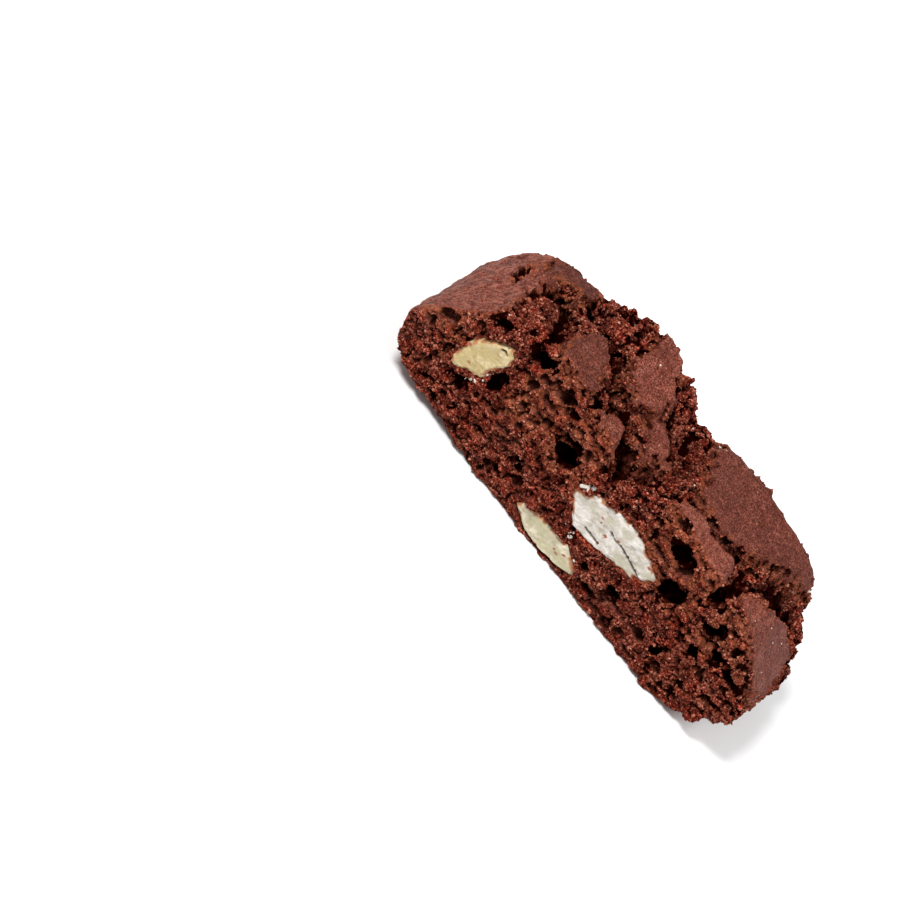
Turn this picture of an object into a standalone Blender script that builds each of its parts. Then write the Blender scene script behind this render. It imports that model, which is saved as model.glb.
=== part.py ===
"""A slice of chocolate almond biscuit: one biscuit body and the almonds that show in it. Metres, +Z up."""

import math

import bmesh
import bpy
import numpy as np
from mathutils import Vector, noise

MM = 0.001

# driving sizes in mm
THICKNESS = 22.5
SKEW = 2.0 / THICKNESS
GAP = 0.3
VOXEL = 0.75
BODY_TRIANGLES = 7000
BASE_CUT = 0.25
CENTRE_X = -0.45

# relief in mm: how far open crumb lies below the plates, and how rough each kind of surface is
CRUMB_DROP = 1.0
CRUMB_ROUGHNESS = 1.2
FACE_ROUGHNESS = 0.38
FACE_DROP = 0.3
SMOOTH_ROUGHNESS = 0.12
PLATE_EDGE = 0.45

# an almond's form, as shares of its half width: how it thins towards its tip and towards both ends
TIP_TAPER = 0.34
END_PINCH = 0.16
BLUNT_SHARE = 0.2
ALMOND_INSET = 0.8
FACE_SINK = 0.1
ALMOND_SEGMENTS = 18
ALMOND_RINGS = 11

# a hole's uneven swelling, and how much of its depth lies outside the face
HOLE_SWELL = 0.22
HOLE_INSET = 0.45

# half outlines of the two cut faces, front then back, as x and z
LEFT_END = (
    ((-12.0, 0.1), (-12.0, 0.0)),
    ((-21.0, 0.9), (-22.0, 0.0)),
    ((-29.0, 1.9), (-31.0, 0.0)),
    ((-35.6, 2.3), (-38.0, 0.0)),
    ((-39.6, 3.4), (-41.2, 1.2)),
    ((-42.0, 5.6), (-43.6, 4.2)),
    ((-43.4, 8.4), (-45.0, 8.5)),
    ((-44.0, 11.2), (-44.9, 12.0)),
    ((-43.1, 14.6), (-43.9, 15.5)),
    ((-41.0, 17.6), (-42.8, 19.3)),
    ((-38.6, 20.2), (-41.2, 22.4)),
    ((-36.4, 22.6), (-39.4, 24.8)),
    ((-34.8, 25.6), (-37.0, 26.6)),
    ((-33.8, 28.2), (-35.0, 27.4)),
)
TOP_HEIGHTS = (
    (-31.5, 30.6, 28.2),
    (-28.0, 31.2, 29.4),
    (-25.0, 31.6, 31.4),
    (-20.0, 32.2, 34.4),
    (-15.0, 30.9, 35.0),
    (-10.0, 29.4, 33.4),
    (-6.0, 28.4, 32.6),
    (-2.0, 26.6, 28.9),
    (2.0, 27.8, 29.0),
    (6.0, 30.4, 29.6),
    (10.0, 31.2, 30.5),
    (15.0, 29.7, 30.4),
    (20.0, 28.8, 30.0),
    (25.0, 28.5, 29.7),
    (30.0, 27.5, 27.9),
)
RIGHT_END = (
    ((33.0, 25.4), (32.0, 26.4)),
    ((36.0, 23.0), (34.6, 23.0)),
    ((38.4, 20.2), (37.2, 19.2)),
    ((41.2, 17.2), (39.6, 16.0)),
    ((43.4, 14.4), (41.6, 12.9)),
    ((44.2, 12.0), (43.0, 9.0)),
    ((43.8, 9.6), (44.2, 5.8)),
    ((42.4, 7.0), (44.9, 3.4)),
    ((40.0, 4.6), (43.8, 1.4)),
    ((37.0, 2.4), (41.5, 0.5)),
    ((32.5, 0.5), (38.5, 0.0)),
    ((25.0, 0.0), (27.0, 0.0)),
)

# smooth plates of the top crust, as x and y seen from above
PLATES = {
    "end_crust": (
        (-50, -14), (-44, -14), (-41.2, -11), (-38.2, -10.3), (-35.8, -9.9), (-34.7, -7.3), (-34.4, -2.4),
        (-34.7, 1.6), (-35.4, 4.9), (-36.8, 7.5), (-34, 14), (-50, 14),
    ),
    "flap": (
        (-36.8, 6.2), (-36.8, 14), (-28, 14), (-26.9, 8.5), (-27.4, 4.6), (-29.6, 3.4), (-32.1, 3.7),
        (-34.7, 4.1),
    ),
    "plate_a": (
        (-23.4, -4.9), (-23.3, -2.2), (-22.9, -0.8), (-20.9, -0.1), (-19.7, -1.2), (-16.6, -5.0), (-15.9, -7.7),
        (-15.8, -9.4), (-16.7, -10.9), (-18.3, -11.2), (-20.8, -11.2), (-22.8, -9.8), (-23.4, -7.7),
    ),
    "plate_b": (
        (-15.1, 10.4), (-15.5, 14), (-10.5, 14), (-8.2, 9.5), (-7.9, 7.6), (-6.7, 6.2), (-5.0, 5.4),
        (-4.7, 3.9), (-5.8, 1.4), (-8.0, -1.6), (-10.0, -1.7), (-11.6, -1.0), (-13.1, -0.9), (-14.5, 0.3),
        (-15.1, 2.1), (-14.4, 5.0), (-15.1, 7.7),
    ),
    "plate_c": (
        (-12.0, -9.7), (-10.7, -8.3), (-9.4, -6.9), (-8.0, -6.3), (-6.8, -7.0), (-5.7, -9.3), (-6.3, -10.8),
        (-9.1, -11.3), (-10.8, -11.2), (-11.7, -10.5),
    ),
    "plate_d": (
        (-4.8, 0.6), (-2.5, 2.4), (-1.1, 2.2), (0.6, -0.5), (1.5, -2.8), (0.0, -2.8), (-1.6, -2.4),
        (-3.0, -2.0), (-4.1, -0.7),
    ),
    "plate_e": (
        (4.6, 14), (34.5, 14), (34.4, 10.8), (32.9, 7.7), (29.5, 3.7), (26.3, 2.1), (25.1, 1.0),
        (22.3, -0.9), (21.1, -2.5), (19.0, -3.5), (16.5, -4.4), (13.8, -4.5), (11.3, -4.4), (9.7, -3.7),
        (8.6, -1.6), (7.4, 1.9), (6.8, 5.2), (5.4, 8.4),
    ),
    "plate_f": (
        (8.6, -7.9), (11.2, -6.7), (13.4, -5.4), (15.7, -6.8), (18.2, -5.9), (20.8, -4.8), (21.6, -6.2),
        (22.7, -8.4), (22.0, -11.4), (20.0, -11.4), (17.4, -10.8), (15.5, -10.6), (13.5, -11.2), (11.7, -10.4),
        (9.1, -10.6), (8.0, -9.0),
    ),
    "plate_g": (
        (26.6, -7.2), (29.2, -5.2), (32.0, -2.7), (35.4, 2.0), (38.1, 3.9), (40.7, 6.0), (41.6, 3.0),
        (42.4, -2.1), (42.5, -6.0), (40.0, -9.0), (37.0, -9.8), (35.3, -9.4), (32.2, -10.0), (29.6, -10.8),
        (27.6, -10.6), (26.6, -10.0),
    ),
}

# open cracks between the plates: line in x and y, depth, half width
CRACKS = (
    (
        ((-26.5, 7.0), (-20.8, 3.6), (-16.6, 0.2), (-13.5, -2.4), (-9.5, -4.0), (-6.5, -5.6), (-3.8, -8.6)),
        4.4, 1.15,
    ),
    (((-30.2, 2.4), (-27.8, 1.4), (-25.8, -2.0), (-25.4, -5.2)), 3.2, 1.5),
    (((-4.0, -2.8), (-1.6, -4.6), (1.6, -6.0), (5.4, -6.4)), 3.2, 1.5),
    (((-2.4, -6.0), (-1.4, -10.8)), 2.6, 1.5),
    (((1.4, 8.0), (2.6, 2.6), (5.4, -1.4), (6.4, -6.0)), 1.6, 1.4),
    (((9.0, -5.0), (13.6, -5.0), (18.6, -4.7), (21.8, -3.6)), 2.2, 0.7),
    (((24.0, -2.2), (28.2, -1.4), (31.0, 1.2), (35.0, 5.4)), 2.2, 1.3),
    (((23.9, -11.3), (23.9, -7.0), (24.6, -3.6)), 2.4, 0.9),
)

# open holes of the two cut faces: x, z, half width, half height, half depth, turn in degrees
FRONT_HOLES = (
    (18.6, 17.9, 2.5, 2.1, 3.6, 20),
    (-9.8, 18.2, 2.5, 1.9, 3.2, -15),
    (14.9, 24.7, 1.7, 1.6, 3.0, 0),
    (23.9, 25.2, 1.5, 1.6, 2.6, 0),
    (28.0, 19.6, 1.6, 1.4, 2.6, 10),
    (32.1, 17.1, 1.3, 1.2, 2.2, 0),
    (36.5, 16.0, 1.5, 1.1, 2.2, -10),
    (29.3, 13.6, 1.1, 0.9, 1.8, 0),
    (13.4, 7.6, 1.8, 0.9, 2.0, 0),
    (25.2, 7.0, 1.1, 0.8, 1.6, 0),
    (-24.4, 27.8, 1.7, 1.4, 2.2, 30),
)
BACK_HOLES = (
    (-33.0, 14.5, 2.1, 1.7, 2.8, 15),
    (-8.5, 24.6, 2.3, 1.7, 3.0, -10),
    (6.5, 10.4, 1.7, 1.2, 2.2, 0),
    (31.5, 11.6, 2.2, 1.6, 2.8, 25),
    (10.5, 25.0, 1.5, 1.2, 2.2, 0),
)

# almonds cut through at a face: x, z, half length, half width, half depth, turn in degrees, bluntness of the tip
FRONT_ALMONDS = {
    "almond_upper": (-30.9, 17.6, 6.6, 3.4, 5.2, 64, 0.30),
    "almond_large": (5.65, 14.95, 10.5, 5.4, 5.8, 4, 0.22),
    "almond_lower": (-0.65, 3.9, 8.0, 2.75, 4.6, 0, 0.05),
}
BACK_ALMONDS = {
    "almond_back_left": (-22.0, 13.2, 9.4, 4.0, 5.2, 24, 0.20),
    "almond_back_right": (19.0, 17.4, 10.2, 4.4, 5.4, -14, 0.22),
}


def fresh_scene():
    for obj in list(bpy.data.objects):
        bpy.data.objects.remove(obj)
    parts = bpy.data.collections.new("chocolate_almond_biscuit")
    cutters = bpy.data.collections.new("cutters")
    bpy.context.scene.collection.children.link(parts)
    bpy.context.scene.collection.children.link(cutters)
    return parts, cutters


def material(name, colour, roughness):
    made = bpy.data.materials.new(name)
    made.use_nodes = True
    shader = made.node_tree.nodes["Principled BSDF"]
    shader.inputs["Base Color"].default_value = (*colour, 1.0)
    shader.inputs["Roughness"].default_value = roughness
    shader.inputs["Metallic"].default_value = 0.0
    return made


def smoothstep(low, high, value):
    t = np.clip((value - low) / (high - low), 0.0, 1.0)
    return t * t * (3.0 - 2.0 * t)


def through_points(points, per_span):
    """A smooth open line through the points."""
    points = np.array(points, float)
    last = len(points) - 1
    found = []
    for i in range(last):
        before, here, after, beyond = points[max(i - 1, 0)], points[i], points[i + 1], points[min(i + 2, last)]
        for step in range(per_span):
            t = step / per_span
            bend = 2 * before - 5 * here + 4 * after - beyond
            twist = -before + 3 * here - 3 * after + beyond
            found.append(0.5 * (2 * here + (after - before) * t + bend * t * t + twist * t ** 3))
    found.append(points[last])
    return np.array(found)


def edge_distance(x, y, line, closed):
    """Distance in plan from each point to a line of straight spans."""
    best = np.full(len(x), 1e9)
    count = len(line) if closed else len(line) - 1
    for i in range(count):
        ax, ay = line[i]
        bx, by = line[(i + 1) % len(line)]
        length = (bx - ax) ** 2 + (by - ay) ** 2
        t = np.clip(((x - ax) * (bx - ax) + (y - ay) * (by - ay)) / length, 0.0, 1.0)
        best = np.minimum(best, np.hypot(x - ax - t * (bx - ax), y - ay - t * (by - ay)))
    return best


def inside(x, y, polygon):
    found = np.zeros(len(x), bool)
    for i in range(len(polygon)):
        ax, ay = polygon[i]
        bx, by = polygon[(i + 1) % len(polygon)]
        if ay == by:
            continue
        crosses = (ay > y) != (by > y)
        found ^= crosses & (x < (bx - ax) * (y - ay) / (by - ay) + ax)
    return found


def plate_cover(x, y, soft):
    """One on a smooth plate, zero on the open crumb."""
    cover = np.zeros(len(x))
    for polygon in PLATES.values():
        depth = edge_distance(x, y, polygon, True)
        depth = np.where(inside(x, y, polygon), depth, -depth)
        cover = np.maximum(cover, smoothstep(-soft, soft, depth))
    return cover


def rough(points, size, seed):
    """Smooth random relief between about minus one and one."""
    return np.array([noise.noise(Vector((p[0] / size + seed, p[1] / size, p[2] / size))) for p in points])


def crust_relief(points):
    """Height added to the top crust: plates stay, the open crumb between them sinks and is craggy."""
    x, y = points[:, 0], points[:, 1]
    crumb = 1.0 - plate_cover(x, y, PLATE_EDGE)
    crag = 0.65 * rough(points, 3.6, 11.0) + 0.45 * rough(points, 1.9, 23.0)
    height = -crumb * (CRUMB_DROP - CRUMB_ROUGHNESS * crag)
    height += SMOOTH_ROUGHNESS * rough(points, 9.0, 5.0)
    for line, depth, half_width in CRACKS:
        away = edge_distance(x, y, line, False)
        height -= crumb * depth * np.exp(-((away / half_width) ** 2))
    return height


def biscuit_body():
    top = [((x, front_height), (x, back_height)) for x, front_height, back_height in TOP_HEIGHTS]
    pairs = list(LEFT_END) + top + list(RIGHT_END)
    front = [pair[0] for pair in pairs]
    back = [pair[1] for pair in pairs]
    front, back = through_points(front, 3), through_points(back, 3)
    around, across = len(front), 8
    verts, faces = [], []
    for j in range(across + 1):
        share = j / across
        y = THICKNESS * (share - 0.5)
        for x, z in front * (1 - share) + back * share:
            verts.append(((x + SKEW * y + CENTRE_X) * MM, y * MM, z * MM))
    for j in range(across):
        for i in range(around):
            a, b = j * around + i, j * around + (i + 1) % around
            faces.append((a, b, b + around, a + around))
    faces.append(tuple(reversed(range(around))))
    faces.append(tuple(range(across * around, (across + 1) * around)))
    mesh = bpy.data.meshes.new("biscuit")
    mesh.from_pydata(verts, [], faces)
    mesh.update()
    return bpy.data.objects.new("biscuit", mesh)


def apply_modifier(obj, kind, **settings):
    modifier = obj.modifiers.new(kind.title(), kind)
    for name, value in settings.items():
        setattr(modifier, name, value)
    bpy.context.view_layer.objects.active = obj
    bpy.ops.object.modifier_apply(modifier=modifier.name)


def shape_relief(obj):
    """Moves the points of the fine body: crust upwards and downwards, cut faces inwards and outwards."""
    mesh = obj.data
    count = len(mesh.vertices)
    points = np.empty(count * 3, np.float32)
    mesh.vertices.foreach_get("co", points)
    normals = np.empty(count * 3, np.float32)
    mesh.vertices.foreach_get("normal", normals)
    points = points.reshape(-1, 3).astype(float) / MM
    normals = normals.reshape(-1, 3).astype(float)
    points[:, 0] -= CENTRE_X
    top = smoothstep(0.10, 0.45, normals[:, 2])
    face = smoothstep(0.55, 0.85, np.abs(normals[:, 1]))
    low = smoothstep(0.5, 2.5, points[:, 2])
    side = np.clip(1.0 - top - face, 0.0, 1.0) * low
    lumps = 0.7 * rough(points, 6.5, 41.0) + 0.8 * rough(points, 2.6, 53.0)
    right = smoothstep(30.0, 40.0, points[:, 0])
    moved = points.copy()
    moved[:, 2] += top * (1.0 - face) * crust_relief(points)
    moved[:, 1] += np.sign(normals[:, 1]) * face * low * (FACE_ROUGHNESS * lumps - FACE_DROP)
    moved += normals * (side * (SMOOTH_ROUGHNESS + FACE_ROUGHNESS * right) * lumps)[:, None]
    moved[:, 0] += CENTRE_X
    mesh.vertices.foreach_set("co", (moved * MM).astype(np.float32).ravel())
    mesh.update()


def flatten_base(obj):
    """Cuts the underside level and sets it down on z = 0."""
    shape = bmesh.new()
    shape.from_mesh(obj.data)
    everything = shape.verts[:] + shape.edges[:] + shape.faces[:]
    bmesh.ops.bisect_plane(
        shape, geom=everything, plane_co=(0, 0, BASE_CUT * MM), plane_no=(0, 0, 1), clear_inner=True
    )
    rim = [edge for edge in shape.edges if edge.is_boundary]
    bmesh.ops.edgeloop_fill(shape, edges=rim)
    bmesh.ops.translate(shape, verts=shape.verts[:], vec=(0, 0, -BASE_CUT * MM))
    bmesh.ops.triangulate(shape, faces=[f for f in shape.faces if len(f.verts) > 4])
    bmesh.ops.recalc_face_normals(shape, faces=shape.faces[:])
    shape.to_mesh(obj.data)
    shape.free()


def almond(name, centre, half_sizes, turn, blunt):
    """A whole almond: a flattened drop, long along x before its turn in degrees about y."""
    shape = bmesh.new()
    bmesh.ops.create_uvsphere(shape, u_segments=ALMOND_SEGMENTS, v_segments=ALMOND_RINGS, radius=1.0)
    half_length, half_width, half_depth = half_sizes
    cos, sin = math.cos(math.radians(turn)), math.sin(math.radians(turn))
    for vert in shape.verts:
        along, deep, wide = vert.co.z, vert.co.x, vert.co.y
        to_tip = along * 0.5 + 0.5
        taper = 1.0 - TIP_TAPER * to_tip ** 2 + BLUNT_SHARE * blunt * along
        pinch = 1.0 - END_PINCH * along ** 2
        x, y, z = along * half_length, deep * half_depth * taper, wide * half_width * taper * pinch
        x, z = x * cos - z * sin, x * sin + z * cos
        vert.co = ((x + centre[0]) * MM, (y + centre[1]) * MM, (z + centre[2]) * MM)
    mesh = bpy.data.meshes.new(name)
    shape.to_mesh(mesh)
    shape.free()
    return bpy.data.objects.new(name, mesh)


def trim_at_face(obj, side):
    """Cuts the almond flat where the knife went through it, just inside the crumb face."""
    level = side * (THICKNESS / 2 - FACE_SINK) * MM
    shape = bmesh.new()
    shape.from_mesh(obj.data)
    everything = shape.verts[:] + shape.edges[:] + shape.faces[:]
    bmesh.ops.bisect_plane(
        shape, geom=everything, plane_co=(0, level, 0), plane_no=(0, side, 0), clear_outer=True
    )
    bmesh.ops.edgeloop_fill(shape, edges=[edge for edge in shape.edges if edge.is_boundary])
    bmesh.ops.triangulate(shape, faces=[f for f in shape.faces if len(f.verts) > 4])
    bmesh.ops.recalc_face_normals(shape, faces=shape.faces[:])
    shape.to_mesh(obj.data)
    shape.free()


def hole_cutter(name, centre, half_sizes, turn, seed):
    """An uneven round lump that cuts one open hole."""
    shape = bmesh.new()
    bmesh.ops.create_icosphere(shape, subdivisions=2, radius=1.0)
    half_width, half_height, half_depth = half_sizes
    cos, sin = math.cos(math.radians(turn)), math.sin(math.radians(turn))
    for vert in shape.verts:
        swell = 1.0 + HOLE_SWELL * noise.noise(vert.co * 1.7 + Vector((seed, 0, 0)))
        wide = vert.co.x * half_width * swell
        deep = vert.co.y * half_depth * swell
        high = vert.co.z * half_height * swell
        x, z = wide * cos - high * sin, wide * sin + high * cos
        vert.co = ((x + centre[0]) * MM, (deep + centre[1]) * MM, (z + centre[2]) * MM)
    mesh = bpy.data.meshes.new(name)
    shape.to_mesh(mesh)
    shape.free()
    return bpy.data.objects.new(name, mesh)


def cut(body, cutter, cutters, solver):
    cutters.objects.link(cutter)
    cutter.hide_render = True
    cutter.display_type = "WIRE"
    modifier = body.modifiers.new("Cut " + cutter.name, "BOOLEAN")
    modifier.operation = "DIFFERENCE"
    modifier.solver = solver
    modifier.object = cutter


def main():
    parts, cutters = fresh_scene()
    crumb = material("biscuit", (0.115, 0.030, 0.018), 0.85)
    nut = material("almond", (0.60, 0.50, 0.29), 0.55)

    body = biscuit_body()
    parts.objects.link(body)
    apply_modifier(body, "REMESH", mode="VOXEL", voxel_size=VOXEL * MM)
    shape_relief(body)
    body.data.calc_loop_triangles()
    share = BODY_TRIANGLES / len(body.data.loop_triangles)
    apply_modifier(body, "DECIMATE", ratio=share, use_collapse_triangulate=True)
    flatten_base(body)
    body.data.materials.append(crumb)

    sections = [(name, values, -1) for name, values in FRONT_ALMONDS.items()]
    sections += [(name, values, 1) for name, values in BACK_ALMONDS.items()]
    for name, (x, z, length, width, depth, turn, blunt), side in sections:
        centre = (x + CENTRE_X, side * (THICKNESS / 2 - ALMOND_INSET), z)
        nut_obj = almond(name, centre, (length, width, depth), turn, blunt)
        parts.objects.link(nut_obj)
        trim_at_face(nut_obj, side)
        nut_obj.data.materials.append(nut)
        grown = (length + GAP, width + GAP, depth + GAP)
        cut(body, almond("pocket_" + name, centre, grown, turn, blunt), cutters, "EXACT")

    for side, holes in ((-1, FRONT_HOLES), (1, BACK_HOLES)):
        for number, (x, z, wide, high, deep, turn) in enumerate(holes, 1):
            name = ("front_hole_" if side < 0 else "back_hole_") + str(number)
            centre = (x + CENTRE_X, side * (THICKNESS / 2 - HOLE_INSET * deep), z)
            hole = hole_cutter(name, centre, (wide, high, deep), turn, number * side)
            cut(body, hole, cutters, "MANIFOLD")


main()
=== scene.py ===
"""Looks of the chocolate almond biscuit slice: crumb, cracked crust, cut almonds and the studio."""

import math

import bmesh
import bpy
import numpy as np
from mathutils import Matrix, Vector, noise
from mathutils.bvhtree import BVHTree


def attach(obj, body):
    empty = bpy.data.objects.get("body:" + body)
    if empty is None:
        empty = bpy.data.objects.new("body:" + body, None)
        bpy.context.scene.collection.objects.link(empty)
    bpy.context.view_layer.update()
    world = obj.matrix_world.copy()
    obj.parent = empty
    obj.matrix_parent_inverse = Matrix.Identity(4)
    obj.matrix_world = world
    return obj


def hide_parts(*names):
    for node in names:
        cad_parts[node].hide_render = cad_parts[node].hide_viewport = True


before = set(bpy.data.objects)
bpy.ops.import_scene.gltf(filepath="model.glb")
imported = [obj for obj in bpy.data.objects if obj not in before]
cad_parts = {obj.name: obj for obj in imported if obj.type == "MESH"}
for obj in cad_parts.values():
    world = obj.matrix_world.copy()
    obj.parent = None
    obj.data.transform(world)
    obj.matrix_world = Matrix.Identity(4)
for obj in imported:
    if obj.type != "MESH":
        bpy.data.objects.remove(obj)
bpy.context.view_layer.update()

MM = 0.001

# the slice, in mm, as its solids are
HALF = 11.25
CENTRE_X = -0.45
FACE_LEVEL = HALF - 0.1

# camera: the photo's view, looking along +Y and down, and rolled because the slice leans there
CAMERA_AT = (-23.0, -476.4, 432.9)
CAMERA_DOWN = 43.0
CAMERA_ROLL = 51.5
LENS = 150.0

# fineness of the body, in mm and triangles
BODY_VOXEL = 0.2
BODY_TRIANGLES = 196000
ALMOND_VOXEL = 0.15

# smooth plates of the top crust, as x and y seen from above
PLATES = {
    "end_crust": (
        (-50, -14), (-44, -14), (-41.2, -11), (-38.2, -10.3), (-35.8, -9.9), (-34.7, -7.3), (-34.4, -2.4),
        (-34.7, 1.6), (-35.4, 4.9), (-36.8, 7.5), (-34, 14), (-50, 14),
    ),
    "flap": (
        (-36.8, 6.2), (-36.8, 14), (-28, 14), (-26.9, 8.5), (-27.4, 4.6), (-29.6, 3.4), (-32.1, 3.7),
        (-34.7, 4.1),
    ),
    "plate_a": (
        (-23.4, -4.9), (-23.3, -2.2), (-22.9, -0.8), (-20.9, -0.1), (-19.7, -1.2), (-16.6, -5.0),
        (-15.9, -7.7), (-15.8, -9.4), (-16.7, -10.9), (-18.3, -11.2), (-20.8, -11.2), (-22.8, -9.8),
        (-23.4, -7.7),
    ),
    "plate_b": (
        (-15.1, 10.4), (-15.5, 14), (-10.5, 14), (-8.2, 9.5), (-7.9, 7.6), (-6.7, 6.2), (-5.0, 5.4),
        (-4.7, 3.9), (-5.8, 1.4), (-8.0, -1.6), (-10.0, -1.7), (-11.6, -1.0), (-13.1, -0.9), (-14.5, 0.3),
        (-15.1, 2.1), (-14.4, 5.0), (-15.1, 7.7),
    ),
    "plate_c": (
        (-12.0, -9.7), (-10.7, -8.3), (-9.4, -6.9), (-8.0, -6.3), (-6.8, -7.0), (-5.7, -9.3), (-6.3, -10.8),
        (-9.1, -11.3), (-10.8, -11.2), (-11.7, -10.5),
    ),
    "plate_d": (
        (-4.8, 0.6), (-2.5, 2.4), (-1.1, 2.2), (0.6, -0.5), (1.5, -2.8), (0.0, -2.8), (-1.6, -2.4),
        (-3.0, -2.0), (-4.1, -0.7),
    ),
    "plate_e": (
        (4.6, 14), (34.5, 14), (34.4, 10.8), (32.9, 7.7), (29.5, 3.7), (26.3, 2.1), (25.1, 1.0),
        (22.3, -0.9), (21.1, -2.5), (19.0, -3.5), (16.5, -4.4), (13.8, -4.5), (11.3, -4.4), (9.7, -3.7),
        (8.6, -1.6), (7.4, 1.9), (6.8, 5.2), (5.4, 8.4),
    ),
    "plate_f": (
        (8.6, -7.9), (11.2, -6.7), (13.4, -5.4), (15.7, -6.8), (18.2, -5.9), (20.8, -4.8), (21.6, -6.2),
        (22.7, -8.4), (22.0, -11.4), (20.0, -11.4), (17.4, -10.8), (15.5, -10.6), (13.5, -11.2),
        (11.7, -10.4), (9.1, -10.6), (8.0, -9.0),
    ),
    "plate_g": (
        (26.6, -7.2), (29.2, -5.2), (32.0, -2.7), (35.4, 2.0), (38.1, 3.9), (40.7, 6.0), (41.6, 3.0),
        (42.4, -2.1), (42.5, -6.0), (40.0, -9.0), (37.0, -9.8), (35.3, -9.4), (32.2, -10.0), (29.6, -10.8),
        (27.6, -10.6), (26.6, -10.0),
    ),
}

# how far some plates reach past those lines, in mm
PLATE_REACH = {"plate_a": 0.5, "plate_b": 0.2, "plate_c": 0.8, "plate_d": 0.8, "plate_f": 0.4, "plate_g": 0.2}

# how light some plates are beside the others: partly their own tone, partly painted light and shade for how
# each plate is lit
PLATE_TONES_AND_PAINTED_LIGHT = {
    "end_crust": 1.28, "flap": 0.62, "plate_a": 0.76, "plate_b": 1.05, "plate_d": 1.08, "plate_e": 0.82,
    "plate_f": 1.22, "plate_g": 1.12,
}

# painted shade in hollows of the open top: centre in x and y, half widths, share of painted shade
PAINTED_SHADE_HOLLOWS = (
    (2.0, 2.0, 5.0, 7.5, 0.40),
    (-28.0, -1.5, 3.5, 6.0, 0.38),
    (-3.0, -8.4, 3.0, 2.6, 0.75),
    (29.2, -0.6, 2.6, 3.0, 0.50),
)

# outlines of the almond sections in the front face, as x and z
FRONT_SECTIONS = {
    "large": (
        (-5.3, 15.9), (-2.8, 16.9), (-2.2, 18.2), (-0.5, 19.0), (1.5, 19.8), (4.0, 20.2), (6.9, 20.7),
        (8.9, 20.4), (11.1, 19.3), (13.2, 18.3), (15.1, 17.3), (15.5, 16.2), (14.6, 15.0), (13.3, 14.0),
        (12.6, 13.7), (13.0, 12.8), (10.9, 12.3), (8.4, 11.9), (6.3, 11.2), (4.3, 10.4), (2.6, 10.0),
        (0.9, 10.2), (-0.9, 9.7), (-1.2, 10.6), (-2.5, 12.0), (-3.3, 13.1), (-4.6, 14.5),
    ),
    "lower": (
        (-9.2, 3.2), (-7.6, 4.9), (-5.3, 5.6), (-2.8, 6.1), (-0.2, 6.3), (2.3, 6.0), (4.4, 4.9), (5.9, 3.9),
        (6.8, 3.0), (5.8, 2.1), (4.1, 1.1), (2.0, 0.5), (-0.5, 0.3), (-2.6, 0.5), (-4.3, 0.5), (-6.0, 1.0),
        (-7.7, 2.3),
    ),
    "upper": (
        (-31.5, 23.8), (-30.7, 24.4), (-29.1, 24.0), (-28.0, 22.9), (-27.5, 21.2), (-28.3, 19.3),
        (-29.1, 17.0), (-28.9, 15.7), (-29.3, 14.4), (-30.6, 13.8), (-31.9, 13.1), (-32.9, 12.0),
        (-34.6, 11.8), (-35.1, 12.8), (-35.3, 15.1), (-35.1, 17.3), (-34.5, 19.0), (-33.9, 20.4),
        (-32.8, 21.8), (-31.8, 22.5),
    ),
}
# the two sections in the back face: centre x and z, half length, half width, turn in degrees
BACK_LENSES = {"back_left": (-22.45, 12.95, 9.3, 3.6, 24.0), "back_right": (18.55, 17.15, 10.1, 3.9, -14.0)}

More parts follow.
